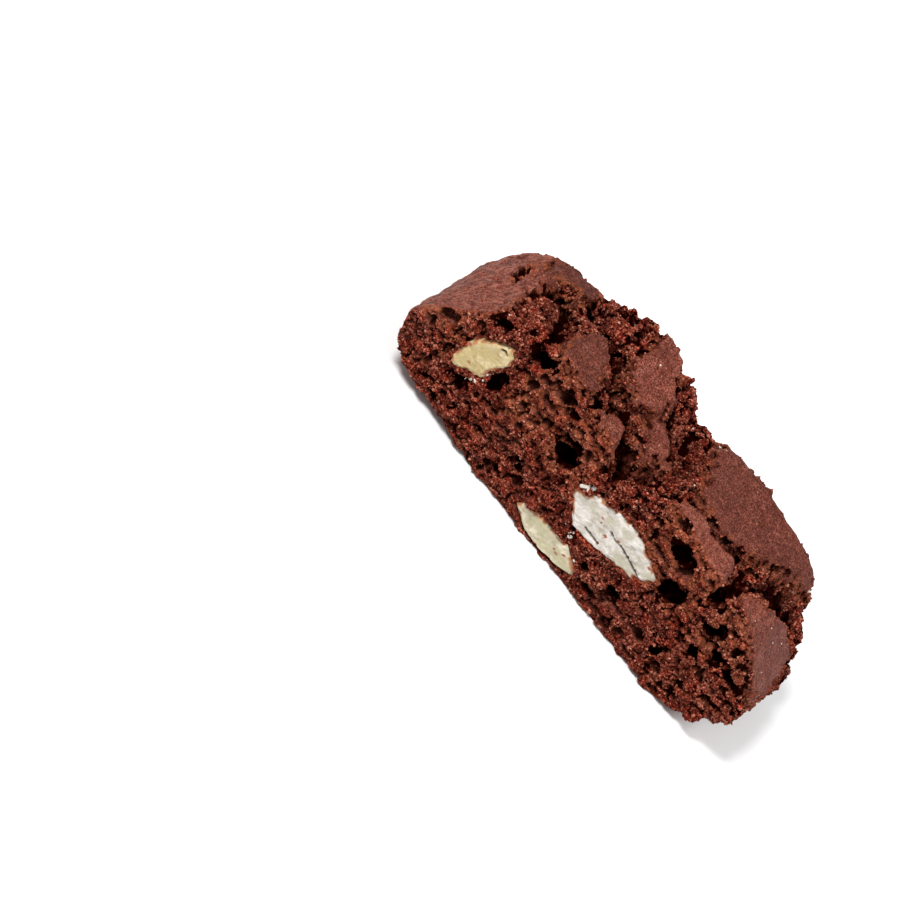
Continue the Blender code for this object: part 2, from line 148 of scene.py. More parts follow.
# extra pores of the front face: x, z, half width, half height, depth
FACE_PORES = (
    (-10.6, 20.2, 2.1, 2.1, 3.2), (-4.6, 23.4, 1.0, 1.2, 1.5), (15.0, 25.4, 2.2, 1.7, 3.0),
    (17.4, 23.0, 1.0, 1.4, 2.2), (18.6, 18.8, 2.4, 2.2, 3.2), (24.6, 24.0, 1.6, 1.4, 2.6),
    (28.4, 20.6, 1.4, 1.0, 2.2), (28.0, 17.6, 1.3, 1.0, 2.0), (33.4, 17.4, 1.3, 0.9, 2.0),
    (13.7, 6.2, 2.4, 1.1, 1.6), (0.7, 9.2, 1.0, 0.6, 1.2), (-36.0, 22.1, 1.3, 1.2, 2.2),
    (-33.9, 26.0, 1.5, 1.3, 2.2), (-40.9, 17.7, 1.8, 1.4, 2.2), (-42.1, 14.3, 1.2, 1.0, 1.6),
    (-26.8, 17.4, 1.3, 2.6, 2.2), (-26.0, 27.6, 2.0, 1.9, 2.6), (-31.8, 9.8, 1.8, 1.2, 1.8),
    (-37.7, 8.0, 1.2, 0.8, 1.3), (-34.6, 12.3, 0.8, 0.7, 1.3), (-12.5, 12.9, 0.9, 0.6, 1.3),
    (-14.8, 9.7, 1.1, 0.7, 1.4), (-16.1, 20.1, 0.9, 0.8, 1.3), (-11.8, 6.2, 1.3, 0.9, 1.5),
    (-19.6, 9.7, 0.9, 0.8, 1.3), (-22.6, 6.4, 1.2, 0.8, 1.3), (-17.0, 4.2, 1.4, 0.8, 1.4),
    (20.8, 6.3, 1.9, 0.9, 1.6), (25.9, 12.9, 1.0, 0.8, 1.3), (31.4, 12.1, 1.1, 0.8, 1.4),
    (37.0, 9.7, 1.0, 0.7, 1.2), (37.7, 16.1, 1.0, 0.8, 1.4), (35.1, 19.3, 0.9, 0.8, 1.4),
    (21.7, 2.0, 1.3, 0.7, 1.2), (27.0, 5.4, 1.4, 0.8, 1.4), (32.6, 6.6, 1.1, 0.7, 1.3),
    (-23.3, 11.6, 0.7, 0.6, 1.2), (-30.6, 11.0, 0.8, 1.1, 1.4), (-22.1, 25.7, 1.0, 0.9, 1.6),
    (-17.3, 27.2, 1.2, 1.0, 1.6), (-22.8, 22.6, 1.2, 1.1, 1.6), (-19.1, 22.5, 0.8, 0.7, 1.3),
    (-14.4, 25.7, 1.1, 0.9, 1.6), (-13.5, 8.5, 0.8, 0.7, 1.2), (-19.0, 14.6, 0.7, 0.9, 1.1),
    (22.4, 21.6, 0.7, 0.6, 1.1), (36.0, 11.4, 0.8, 0.6, 1.2), (20.6, 11.2, 0.7, 0.6, 1.1),
    (10.6, 29.6, 1.0, 0.8, 1.4), (32.6, 21.0, 0.9, 0.9, 1.5),
)

# loose crumbs in each band: faces, how many, smallest and largest radius in mm; and marks kept from the body
GRAIN_KINDS = ((20, 4200, 0.13, 0.31), (8, 13600, 0.08, 0.19))
GRAIN_MARKS = ("edge", "hollow", "deep", "split", "sheltered")

# bare places in the end crust: centre x and y, half widths, and the unevenness, size and seed of their rims
BARE_PLACES = ((-31.6, 5.4, 2.6, 1.3, 0.35, 1.2, 17.0), (-38.7, 4.2, 0.8, 2.6, 0.5, 0.9, 19.0))

# deep splits of the crust: line in x and y, depth, half width
SPLITS = (
    (
        ((-24.4, 7.2), (-21.9, 5.3), (-19.0, 2.9), (-16.1, 1.3), (-13.3, -1.9), (-10.7, -3.1), (-8.8, -4.0)),
        3.0, 1.1,
    ),
    (
        ((-8.8, -4.0), (-6.9, -5.0), (-5.0, -6.4), (-3.4, -7.6), (-2.6, -10.0)),
        3.4, 1.4,
    ),
    (
        ((-7.4, -3.2), (-4.6, -3.8), (-1.1, -4.6), (1.6, -5.4), (3.6, -6.6)),
        2.8, 1.3,
    ),
    (
        ((-7.0, 9.4), (-5.6, 7.6), (-3.4, 5.8), (-0.6, 4.6), (1.8, 2.4), (3.4, 0.2)),
        1.8, 0.8,
    ),
    (
        (
            (-31.6, 3.2), (-29.4, 2.6), (-27.6, 1.4), (-26.6, -1.4), (-26.2, -5.4), (-25.4, -8.6),
            (-24.4, -11.0),
        ),
        2.8, 1.4,
    ),
    (
        ((7.0, -4.7), (10.6, -4.9), (14.8, -5.0), (17.0, -5.2), (19.0, -4.2), (22.1, -3.0), (25.4, -1.4)),
        1.7, 0.5,
    ),
    (
        ((24.2, -10.8), (24.6, -7.4), (25.6, -4.4), (27.6, -1.8), (29.6, 0.4), (32.9, 3.0), (35.4, 5.4)),
        2.8, 1.3,
    ),
    (
        ((28.0, 1.4), (30.2, 3.0), (32.3, 4.6), (34.6, 6.4), (36.3, 7.6)),
        2.0, 0.8,
    ),
    (
        ((-14.9, -3.4), (-13.6, -5.0), (-13.0, -7.2), (-13.6, -9.6)),
        1.3, 0.6,
    ),
    (
        ((-12.2, -5.2), (-11.4, -6.6), (-10.8, -8.0)),
        1.0, 0.5,
    ),
    (
        ((-18.0, 9.6), (-17.2, 6.0), (-18.6, 3.6)),
        1.2, 0.7,
    ),
)

# fine creases of the crust plates, as x and y
CREASES = (
    ((-12.6, 11.0), (-12.5, 6.6), (-11.3, 4.0), (-10.9, 0.5)),
    ((-10.2, 9.0), (-9.4, 5.4), (-8.8, 2.6)),
    ((-22.9, -2.5), (-20.3, -5.6), (-18.9, -8.6), (-18.6, -10.8)),
    ((-21.6, -6.4), (-20.4, -9.6)),
    ((15.4, -10.8), (15.0, -9.2), (15.6, -7.6), (15.2, -6.4)),
)

# the close-grained middle of the cut faces: centre x and z, half width and half height
CLOSE_CRUMB = (4.0, 14.0, 19.0, 8.5)

# how far the crumb lies under the crust plates, and how far their edges curl up, in mm
CRUST_STEP = 0.75
EDGE_CURL = 0.22

# crust and crumb relief: spacings and heights in mm, and the painted shade of a split's core as a share of
# its half width
CRUMB_SWELL = 0.32
MOAT_DEPTH = 0.9
CREASE_DEPTH = 0.22
CREASE_WIDTH = 0.22
WRINKLE_HEIGHT = 0.2
SPLIT_CORE = 0.8
KNOB_SPACING = 2.5
KNOB_HEIGHT = 0.6
CLUMP_SPACING = 1.15
CLUMP_HEIGHT = 0.5
CLUMP_STEP = 0.3
HOLLOW_SPACING = 2.2
HOLLOW_DEPTH = 1.7
CREVICE_DEPTH = 1.1
GRAIN_SPACING = 0.6
GRAIN_HEIGHT = 0.24
GRAIN_STEP = 0.14
SKIN_GRAIN = 0.04
SEAT_DEPTH = 1.5

# how far a point may sink, as a share of the wall behind it, and how far walls are looked for, in mm
SINK_SHARE = 0.15
WALL_REACH = 12.0
RAY_START = 0.4

# where the end crust starts, the underside's edge, the cut faces' band and the upper brim that gets a painted
# highlight, in mm
END_START = -33.0
UNDER_TOP = 3.2
UNDER_FLAT = 2.6
FACE_BAND = 2.2
BRIM_HEIGHT = 14.0

# rounds of smoothing: body, spikes, and the three sizes of hollow that the materials darken with painted
# shade
BODY_SMOOTHING = 24
SPIKE_PASSES = 10
HOLLOW_PASSES = 70
CAVITY_PASSES = 3
DEEP_PASSES = 260

# the almonds: how far they reach into the crumb, and the relief of their cut faces, in mm
ALMOND_NODES = ("almond_upper", "almond_large", "almond_lower", "almond_back_left", "almond_back_right")
ALMOND_GROWTH = 0.5
LOWER_GROWTH = 0.8
CUT_SWELL = 0.10
CHIP_STEP = 0.22
FISSURE_DEPTH = 0.6
ROUNDED_EDGE = 0.35
SUNK_SURROUND = 1.4

# the three bands of loose crumbs: name, from and to in y, random seed
GRAIN_BANDS = (
    ("front_crumb_grains", -20.0, -8.5, 3),
    ("top_crumb_grains", -8.5, 8.5, 5),
    ("back_crumb_grains", 8.5, 20.0, 7),
)

# marks of the almond sections, as x and z in mm: open fissures, crumb stains, and smoother glassy places
FISSURES = {
    "large": (
        ((4.4, 15.9), (6.0, 15.6), (7.7, 15.7), (9.1, 15.4), (10.4, 15.1), (11.4, 14.8), (12.9, 14.4)),
        ((1.3, 12.1), (3.0, 11.9), (4.6, 12.1)),
    ),
    "upper": (((-30.6, 22.4), (-30.0, 22.65), (-29.4, 22.4)),),
}
STAINS = {
    "large": (
        (1.6, 16.6), (2.2, 15.9), (4.2, 14.3), (6.4, 16.1), (4.6, 11.9), (13.8, 17.8), (13.0, 17.7),
        (14.3, 17.7), (7.0, 20.3), (7.8, 20.1), (9.2, 20.0), (10.0, 19.8), (2.2, 19.6), (0.6, 18.9),
    ),
    "lower": ((1.2, 3.5), (1.8, 3.2), (3.0, 4.4)),
    "upper": ((-31.9, 22.5), (-34.8, 17.5), (-32.3, 14.9)),
}
GLASSY = {
    "large": ((-0.9, 16.3, 1.5), (14.4, 16.1, 1.4), (9.6, 13.4, 2.6), (3.0, 17.6, 1.0), (6.6, 18.6, 1.4)),
    "lower": ((-2.5, 4.6, 3.0), (3.6, 3.0, 2.6), (0.0, 2.4, 2.0)),
    "upper": ((-33.6, 14.2, 2.2), (-31.2, 19.6, 2.4), (-33.4, 18.2, 1.6)),
    "back_left": ((-19.0, 15.0, 3.0),),
    "back_right": ((16.0, 17.0, 3.4),),
}

# flecks of almond, in mm: those on top as x, y and radius, those in front as x, z and radius
FLECKS_ABOVE = (
    (6.2, -0.6, 0.45), (6.9, -1.0, 0.35), (-0.3, 9.6, 0.28), (5.1, 9.4, 0.4), (6.0, 9.2, 0.3),
    (-12.2, 5.8, 0.28),
    (-22.0, 7.0, 0.25), (-16.2, 1.7, 0.22), (-2.4, 7.4, 0.25), (33.5, 10.0, 0.3), (-34.2, -10.2, 0.3),
    (-33.2, -10.6, 0.25), (-26.3, -10.5, 0.3), (37.2, 0.9, 0.18), (35.8, -2.7, 0.2), (33.6, -3.6, 0.18),
    (30.5, -8.2, 0.2), (38.5, -6.1, 0.18), (-20.0, 9.4, 0.22), (-13.6, -3.2, 0.16),
)
FLECKS_IN_FRONT = (
    (-3.7, 18.5, 1.0), (-4.3, 18.2, 0.8), (-3.1, 18.9, 0.7),
    (0.8, 9.2, 0.4), (1.0, 7.9, 0.38), (0.4, 8.5, 0.25), (4.6, 5.6, 0.25), (-1.8, 9.5, 0.25),
    (-1.2, 9.2, 0.3),
    (-30.2, 12.6, 0.4), (-29.4, 13.4, 0.4), (-28.6, 14.6, 0.35), (-30.8, 11.9, 0.35), (-28.9, 16.1, 0.3),
)

# colours of the crumb, from its dark specks to its light ones; then the torn edges' colour with the upper
# brim's painted highlight, and painted shade for crevices, holes and grains in hollows
CRUMB_STOPS = (
    (0.37, (0.014, 0.0007, 0.0005)), (0.47, (0.110, 0.011, 0.005)), (0.565, (0.35, 0.080, 0.045)),
    (0.655, (0.90, 0.47, 0.34)),
)
CRUMB_SHADES = ((0.38, (0.50, 0.42, 0.40)), (0.60, (1.25, 1.25, 1.25)))
RED_TINT = (0.95, 0.60, 0.52)
TORN_EDGE_AND_BRIM_HIGHLIGHT = (0.48, 0.145, 0.062)
CREVICE_PAINTED_SHADE = (0.020, 0.0012, 0.0006)
HOLE_PAINTED_SHADE = (0.010, 0.0006, 0.0003)
GRAIN_SHADE = (0.050, 0.006, 0.003)
GRAIN_LIGHT = (0.64, 0.27, 0.17)
GRAIN_PAINTED_SHADE = (0.014, 0.0010, 0.0005)

# colours of the crust's skin, with a painted highlight on the upper brim and in the end crust's streaks, and
# painted shade in the end's groove lines and deep hollows
SKIN_STOPS = (
    (0.30, (0.045, 0.008, 0.005)), (0.43, (0.112, 0.027, 0.017)), (0.56, (0.165, 0.049, 0.035)),
    (0.72, (0.32, 0.125, 0.095)),
)
SPECKLE_STOPS = ((0.37, (0.34, 0.26, 0.24)), (0.50, (0.90, 0.90, 0.90)), (0.63, (1.9, 1.95, 1.9)))
SKIN_PATCH = (0.100, 0.026, 0.019)
SKIN_STREAK = (0.24, 0.084, 0.060)
SKIN_WARMTH = (0.96, 0.90, 0.86)
LIGHT_SPECK = (0.50, 0.27, 0.15)
END_PAINTED_HIGHLIGHT_STREAK = (0.30, 0.115, 0.078)
END_GROOVE_PAINTED_SHADE = (0.060, 0.012, 0.008)
SKIN_EDGE_AND_BRIM_HIGHLIGHT = (0.27, 0.075, 0.030)
SKIN_HOLLOW_PAINTED_SHADE = (0.030, 0.005, 0.003)

# colours of the almonds: pale, middle, shaded and glassy; then what all of them share
CHALK = ((0.68, 0.64, 0.59), (0.58, 0.53, 0.47), (0.44, 0.39, 0.31), (0.41, 0.38, 0.27))
STRAW = ((0.60, 0.48, 0.28), (0.50, 0.38, 0.165), (0.41, 0.30, 0.125), (0.46, 0.35, 0.14))
OLIVE = ((0.68, 0.60, 0.46), (0.53, 0.47, 0.32), (0.42, 0.37, 0.22), (0.44, 0.40, 0.24))
ALMOND_WHITE = (0.86, 0.84, 0.80)
ALMOND_SKIN = (0.40, 0.155, 0.062)
CRUMB_STAIN = (0.30, 0.085, 0.035)
# painted shade in the almonds' fissures
FISSURE_PAINTED_SHADE = (0.05, 0.022, 0.010)

# the studio: a lamp's place is in m back, right and up from the lit point, as the camera sees it
FLOOR_SIZE = 6.0
FLOOR_STOPS = ((0.3, (0.80, 0.80, 0.80)), (0.7, (0.84, 0.84, 0.84)))
WORLD_STRENGTH = 0.40
LIT_POINT = (0.0, 0.0, 0.015)
KEY_PLACE = (0.60, 0.02, 0.46)
KEY_SIZE = 0.24
KEY_POWER = 6.4
FILL_PLACE = (0.45, 0.6, -0.05)
FILL_SIZE = 0.5
FILL_POWER = 3.8


def select_only(piece):
    bpy.ops.object.select_all(action="DESELECT")
    piece.select_set(True)
    bpy.context.view_layer.objects.active = piece


def apply_modifier(piece, kind, **settings):
    select_only(piece)
    modifier = piece.modifiers.new(kind.title(), kind)
    for name, value in settings.items():
        setattr(modifier, name, value)
    bpy.ops.object.modifier_apply(modifier=modifier.name)


def merged_copy(node, name):
    """A copy of a solid's mesh with its loose triangles joined."""
    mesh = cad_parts[node].data.copy()
    mesh.name = name
    mesh.materials.clear()
    piece = bpy.data.objects.new(name, mesh)
    bpy.context.scene.collection.objects.link(piece)
    select_only(piece)
    bpy.ops.object.mode_set(mode="EDIT")
    bpy.ops.mesh.select_all(action="SELECT")
    bpy.ops.mesh.remove_doubles(threshold=1e-6)
    bpy.ops.object.mode_set(mode="OBJECT")
    return piece


def read_points(piece):
    """The piece's points in mm and its point normals."""
    mesh = piece.data
    points = np.empty(len(mesh.vertices) * 3, np.float32)
    mesh.vertices.foreach_get("co", points)
    normals = np.empty(len(mesh.vertices) * 3, np.float32)
    mesh.vertices.foreach_get("normal", normals)
    return points.reshape(-1, 3).astype(float) / MM, normals.reshape(-1, 3).astype(float)


def write_points(piece, points):
    piece.data.vertices.foreach_set("co", (points * MM).astype(np.float32).ravel())
    piece.data.update()


def write_attribute(piece, name, values):
    attribute = piece.data.attributes.new(name, "FLOAT", "POINT")
    attribute.data.foreach_set("value", np.asarray(values, np.float32))


def read_attribute(piece, name):
    values = np.empty(len(piece.data.vertices), np.float32)
    piece.data.attributes[name].data.foreach_get("value", values)
    return values.astype(float)


def smoothstep(low, high, value):
    t = np.clip((value - low) / (high - low), 0.0, 1.0)
    return t * t * (3.0 - 2.0 * t)


def lumps(points, size, seed):
    """Smooth random relief between about minus one and one."""
    shifted = points / size + np.array((seed, seed * 0.37, -seed * 0.61))
    return 2.0 * np.array([noise.noise(p) for p in shifted])


def cell_numbers(cell, seed):
    """An even random number from zero to one for each whole-number place."""
    mixed = (cell[:, 0] * 73856093) ^ (cell[:, 1] * 19349663) ^ (cell[:, 2] * 83492791) ^ (seed * 26544357)
    mixed = (mixed & 0xFFFFFFFF).astype(np.uint32)
    mixed = (mixed ^ (mixed >> np.uint32(15))) * np.uint32(2246822519)
    mixed = (mixed ^ (mixed >> np.uint32(13))) * np.uint32(3266489917)
    return ((mixed ^ (mixed >> np.uint32(16))) & np.uint32(0xFFFFFF)) / float(0x1000000)


def cells(points, size, seed):
    """Distance to the nearest scattered seed, its random number, and how much further the next one is.

    The distances are shares of the seeds' spacing.
    """
    place = points / size
    home = np.floor(place).astype(np.int64)
    best = np.full(len(points), 9.0)
    second = np.full(len(points), 9.0)
    number = np.zeros(len(points))
    for step in np.ndindex(3, 3, 3):
        cell = home + np.array(step) - 1
        away = np.zeros(len(points))
        for axis in range(3):
            away += (place[:, axis] - cell[:, axis] - cell_numbers(cell, seed + axis)) ** 2
        away = np.sqrt(away)
        nearer = away < best
        second = np.where(nearer, best, np.minimum(second, away))
        best[nearer] = away[nearer]
        number[nearer] = cell_numbers(cell[nearer], seed + 3)
    return best, number, second - best


def edge_distance(x, y, line, closed):
    """Distance in plan from each point to a line of straight spans."""
    best = np.full(len(x), 1e9)
    count = len(line) if closed else len(line) - 1
    for i in range(count):
        ax, ay = line[i]
        bx, by = line[(i + 1) % len(line)]
        length = (bx - ax) ** 2 + (by - ay) ** 2
        t = np.clip(((x - ax) * (bx - ax) + (y - ay) * (by - ay)) / length, 0.0, 1.0)
        best = np.minimum(best, np.hypot(x - ax - t * (bx - ax), y - ay - t * (by - ay)))
    return best


def inside(x, y, polygon):
    found = np.zeros(len(x), bool)
    for i in range(len(polygon)):
        ax, ay = polygon[i]
        bx, by = polygon[(i + 1) % len(polygon)]
        if ay == by:
            continue
        crosses = (ay > y) != (by > y)
        found ^= crosses & (x < (bx - ax) * (y - ay) / (by - ay) + ax)
    return found


def outline_depth(x, y, polygons):
    """How far inside the nearest of the outlines each point lies, negative outside them all."""
    best = np.full(len(x), -1e9)
    for polygon in polygons:
        depth = edge_distance(x, y, polygon, True)
        best = np.maximum(best, np.where(inside(x, y, polygon), depth, -depth))
    return best


def lens_outline(centre_x, centre_z, half_length, half_width, turn):
    """An almond's cut outline: pointed at one end, round at the other."""
    cos, sin = math.cos(math.radians(turn)), math.sin(math.radians(turn))
    line = []
    for step in range(28):
        angle = 2.0 * math.pi * step / 28
        along, wide = math.cos(angle), math.sin(angle)
        taper = 1.0 - 0.34 * (along * 0.5 + 0.5) ** 2
        a, b = along * half_length, wide * half_width * taper
        line.append((centre_x + a * cos - b * sin, centre_z + a * sin + b * cos))
    return tuple(line)


BACK_SECTIONS = {name: lens_outline(*numbers) for name, numbers in BACK_LENSES.items()}


def ragged(points, coarse, fine):
    """Uneven shift for a broken edge, in mm."""
    return coarse * lumps(points, 1.7, 7.0) + fine * lumps(points, 0.7, 9.0)


def plate_depth(points):
    """How far inside a crust plate each point lies in plan, in mm, with a ragged edge; negative outside."""
    best = np.full(len(points), -1e9)
    across, along = points[:, 0] - CENTRE_X, points[:, 1]
    for name, outline in PLATES.items():
        reach = PLATE_REACH.get(name, 0.0)
        best = np.maximum(best, outline_depth(across, along, (outline,)) + reach)
    for line, _, half_width in SPLITS:
        away = edge_distance(across, along, line, False)
        best = np.minimum(best, away - 0.85 * half_width)
    near = np.abs(best) < 3.0
    best[near] += ragged(points[near], 0.75, 0.6) + 0.3 * lumps(points[near], 0.38, 8.0)
    for x, y, half_x, half_y, uneven, size, seed in BARE_PLACES:
        spot = np.hypot((points[:, 0] - x) / half_x, (points[:, 1] - y) / half_y)
        best = np.minimum(best, (spot + uneven * lumps(points, size, seed) - 1.0) * 1.2)
    return best


def section_depth(points):
    """How far inside an almond's cut outline each point near a cut face lies, in mm; negative elsewhere."""
    depth = np.full(len(points), -1e9)
    for side, sections in ((-1, FRONT_SECTIONS), (1, BACK_SECTIONS)):
        near = points[:, 1] * side > HALF - 2.5
        depth[near] = outline_depth(points[near, 0], points[near, 2], sections.values())
    return depth


def shape_tree(piece):
    """A search tree over the piece's faces, in mm."""
    points, _ = read_points(piece)
    faces = [tuple(polygon.vertices) for polygon in piece.data.polygons]
    return BVHTree.FromPolygons([Vector(point) for point in points], faces)


def sheltered_share(points, normals, tree):
    """One where a wall of the solid closes over or under the point, as inside the cut faces' holes."""
    share = np.zeros(len(points))
    sky, ground = Vector((0.0, 0.0, 1.0)), Vector((0.0, 0.0, -1.0))
    sunk = np.nonzero((np.abs(points[:, 1]) < HALF - 0.3) & (np.abs(points[:, 1]) > 3.0))[0]
    for index in sunk:
        way = sky if normals[index, 2] > -0.15 else ground
        start = Vector(points[index] + RAY_START * normals[index])
        _, wall, _, _ = tree.ray_cast(start + 0.3 * way, way, 9.0)
        if wall is not None and wall.dot(way) < -0.05:
            share[index] = 1.0
    return share


def wall_thickness(points, normals, tree):
    """How far behind each point the solid's opposite wall is, in mm, up to the reach."""
    thickness = np.full(len(points), WALL_REACH)
    for index in range(len(points)):
        way = Vector(-normals[index])
        start = Vector(points[index]) + RAY_START * way
        _, wall, _, away = tree.ray_cast(start, way, WALL_REACH - RAY_START)
        if wall is not None:
            thickness[index] = away + RAY_START
    return thickness


def surface_masks(points, normals, sheltered):
    """Shares of crust, cut face and underside at each point, and the plates' depth."""
    depth = plate_depth(points)
    depth = np.where(sheltered > 0.5, np.minimum(depth, -1.0), depth)
    face = smoothstep(0.55, 0.8, np.abs(normals[:, 1])) * (np.abs(points[:, 1]) > HALF - FACE_BAND)
    upward = smoothstep(0.02, 0.25, normals[:, 2])
    plates = smoothstep(-0.12, 0.12, depth) * upward
    end = smoothstep(-0.25, -0.5, normals[:, 0]) * (points[:, 0] < END_START) * smoothstep(-0.3, 0.3, depth)
    under = smoothstep(-0.6, -0.85, normals[:, 2]) * smoothstep(UNDER_TOP, UNDER_FLAT, points[:, 2])
    crust = np.clip(np.maximum(np.maximum(plates, end), under) * (1.0 - face), 0.0, 1.0)
    return crust, face, under, depth


def wandering(points, reach, size, seeds):
    """The points shifted unevenly in plan, so that a line measured from them looks torn by hand."""
    shifts = [lumps(points, size, seed) for seed in seeds]
    return points + reach * np.column_stack(shifts + [np.zeros(len(points))])


def plate_relief(points, normals, crust, face, under, depth):
    """How far each point moves for the crust's step, curled edges, creases and wrinkles, in mm."""
    crumb = (1.0 - crust) * (1.0 - under)
    skin = crust * (1.0 - under)
    upward = normals[:, 2] > 0.1
    curl = np.exp(-((depth - 0.35) / 0.4) ** 2) * crust * upward * (0.6 + lumps(points, 1.5, 5.0))
    swell = CRUMB_SWELL * lumps(points, 2.6, 3.0) - CRUST_STEP * (1.0 - face)
    shift = crumb * swell + EDGE_CURL * curl
    shift += skin * (0.10 * lumps(points, 4.0, 13.0) + 0.06 * lumps(points, 1.4, 15.0))
    crease = np.full(len(points), 9.0)
    wavy = wandering(points, 0.3, 1.1, (57.0, 59.0))
    for line in CREASES:
        crease = np.minimum(crease, edge_distance(wavy[:, 0] - CENTRE_X, wavy[:, 1], line, False))
    shift -= CREASE_DEPTH * crust * upward * np.exp(-((crease / CREASE_WIDTH) ** 2))
    wrinkles = lumps(points * (1.0, 1.0, 0.2), 1.2, 51.0) * smoothstep(-31.0, -36.0, points[:, 0])
    shift += skin * WRINKLE_HEIGHT * wrinkles
    moat = np.exp(-(((depth + 0.8) / 0.5) ** 2)) * smoothstep(-0.1, 0.35, lumps(points, 2.2, 53.0))
    return shift - MOAT_DEPTH * crumb * upward * (1.0 - face) * moat


def sink_face_pores(points, front):
    """Pushes the front face in at its pores; returns how far each point lies in one, from zero to one."""
    pit = np.zeros(len(points))
    for x, z, half_width, half_height, deep in FACE_PORES:
        away = np.hypot((points[:, 0] - x) / half_width, (points[:, 2] - z) / half_height)
        sunk = smoothstep(1.2, 0.75, away + 0.3 * lumps(points, 1.1, x))
        points[:, 1] += front * deep * sunk
        pit = np.maximum(pit, front * sunk)
    return pit


def open_splits(points, open_top, open_crumb, deepest):
    """Sinks the splits of the crust; returns the share of painted shade at each point, in the splits' cores
    and the hollows of the open top.
    """
    split = np.zeros(len(points))
    wander = wandering(points, 0.5, 1.6, (33.0, 37.0))
    across, along = wander[:, 0] - CENTRE_X, wander[:, 1]
    for line, deep, half_width in SPLITS:
        away = edge_distance(across, along, line, False)
        sink = np.minimum(deep, -2.0 * deepest)
        points[:, 2] -= open_top * sink * np.exp(-((away / half_width) ** 2))
        # the split's core gets painted shade
        core = np.exp(-((away / (SPLIT_CORE * half_width)) ** 2))
        split = np.maximum(split, open_top * sink / deep * core)
    # painted shade over the hollows of the open top
    for x, y, half_x, half_y, share in PAINTED_SHADE_HOLLOWS:
        away = np.hypot((across - x) / half_x, (along - y) / half_y)
        split = np.maximum(split, open_crumb * share * smoothstep(1.25, 0.7, away))
    return split


def crumb_relief(points, face):
    """How far each point moves for the crumb's knobs, clumps, hollows and crevices, in mm."""
    on_face = (face > 0.5)[:, None]
    lying = points * np.where(on_face, (0.85, 1.0, 1.25), (1.0, 1.0, 1.0))
    _, knob_number, knob_gap = cells(lying + 0.3 * ragged(points, 1.0, 0.6)[:, None], KNOB_SPACING, 11)
    clump, clump_number, _ = cells(lying, CLUMP_SPACING, 17)
    centre_x, centre_z, half_width, half_height = CLOSE_CRUMB
    middle = np.hypot((points[:, 0] - centre_x) / half_width, (points[:, 2] - centre_z) / half_height)
    coarse = 0.3 + 0.7 * smoothstep(0.7, 1.2, middle + 0.2 * lumps(points, 4.0, 31.0))
    drawn = points * np.where(on_face, (0.8, 1.0, 1.15), (1.0, 1.0, 1.0))
    pore, pore_number, _ = cells(drawn, HOLLOW_SPACING, 23)
    reach = np.where(pore_number < 0.75 * coarse, 0.12 + 0.42 * pore_number, 0.0)
    hollow = smoothstep(reach + 0.06, reach - 0.06, pore + 0.16 * lumps(points, 0.7, 27.0)) * (reach > 0.0)
    crevice = smoothstep(0.16, 0.02, knob_gap) * smoothstep(0.0, 0.25, lumps(points, 3.2, 29.0) + 0.12)
    shift = KNOB_HEIGHT * (knob_number - 0.5) + CLUMP_HEIGHT * (0.62 - clump)
    shift += CLUMP_STEP * (clump_number - 0.5)
    return shift - (CREVICE_DEPTH * crevice * (0.4 + 0.6 * coarse) + HOLLOW_DEPTH * hollow)


def grow_crumb(body, sheltered, thickness):
    """Steps the crust up over the crumb, raises clumps and sinks pores and the almonds' seats.

    Returns how far each point lies in a pore of the front face.
    """
    deepest = -SINK_SHARE * thickness * smoothstep(0.8, 3.0, thickness)
    points, normals = read_points(body)
    crust, face, under, depth = surface_masks(points, normals, sheltered)
    crumb = (1.0 - crust) * (1.0 - under)
    shift = plate_relief(points, normals, crust, face, under, depth)
    points += normals * np.maximum(shift, deepest)[:, None]
    pit = sink_face_pores(points, (points[:, 1] < 0.0) * face)
    open_top = crumb * smoothstep(0.05, 0.5, normals[:, 2]) * (1.0 - face)
    split = open_splits(points, open_top, crumb * (1.0 - face), deepest)
    write_points(body, points)
    write_attribute(body, "split", split)

    points, normals = read_points(body)
    points += normals * (crumb * np.maximum(crumb_relief(points, face), deepest))[:, None]
    write_points(body, points)

    points, normals = read_points(body)
    grain, grain_number, _ = cells(points, GRAIN_SPACING, 41)
    height = GRAIN_HEIGHT * (0.6 - grain) + GRAIN_STEP * (grain_number - 0.5)
    points += normals * (crumb * height)[:, None]
    points += normals * (crust * (1.0 - under) * SKIN_GRAIN * lumps(points, 0.6, 43.0))[:, None]
    seat = smoothstep(0.02, 0.35, section_depth(points) + ragged(points, 0.12, 0.12))
    points[:, 1] -= np.sign(points[:, 1]) * seat * SEAT_DEPTH
    points[:, 2] = np.maximum(points[:, 2], 0.0)
    write_points(body, points)
    return pit


def neighbour_means(piece, points, passes):
    """Each point's place after the given number of rounds of moving to the middle of its neighbours."""
    mesh = piece.data
    ends = np.empty(len(mesh.edges) * 2, np.int32)
    mesh.edges.foreach_get("vertices", ends)
    a, b = ends[0::2], ends[1::2]
    count = np.maximum(np.bincount(ends, minlength=len(points)), 1)[:, None]
    smooth = points.copy()
    for _ in range(passes):
        total = np.zeros_like(smooth)
        for axis in range(3):
            total[:, axis] = np.bincount(a, weights=smooth[b, axis], minlength=len(points))
            total[:, axis] += np.bincount(b, weights=smooth[a, axis], minlength=len(points))
        smooth = total / count
    return smooth


def cavity(piece, passes):
    """How deep each point lies below its smoothed surroundings, in mm; negative on what stands out."""
    points, normals = read_points(piece)
    return np.einsum("ij,ij->i", neighbour_means(piece, points, passes) - points, normals)


def blunt_spikes(piece):
    """Draws points that stand off sharply from their neighbours back to them."""
    points, _ = read_points(piece)
    for _ in range(SPIKE_PASSES):
        middle = neighbour_means(piece, points, 1)
        away = np.linalg.norm(middle - points, axis=1)
        points += smoothstep(0.18, 0.36, away)[:, None] * (middle - points)
    write_points(piece, points)


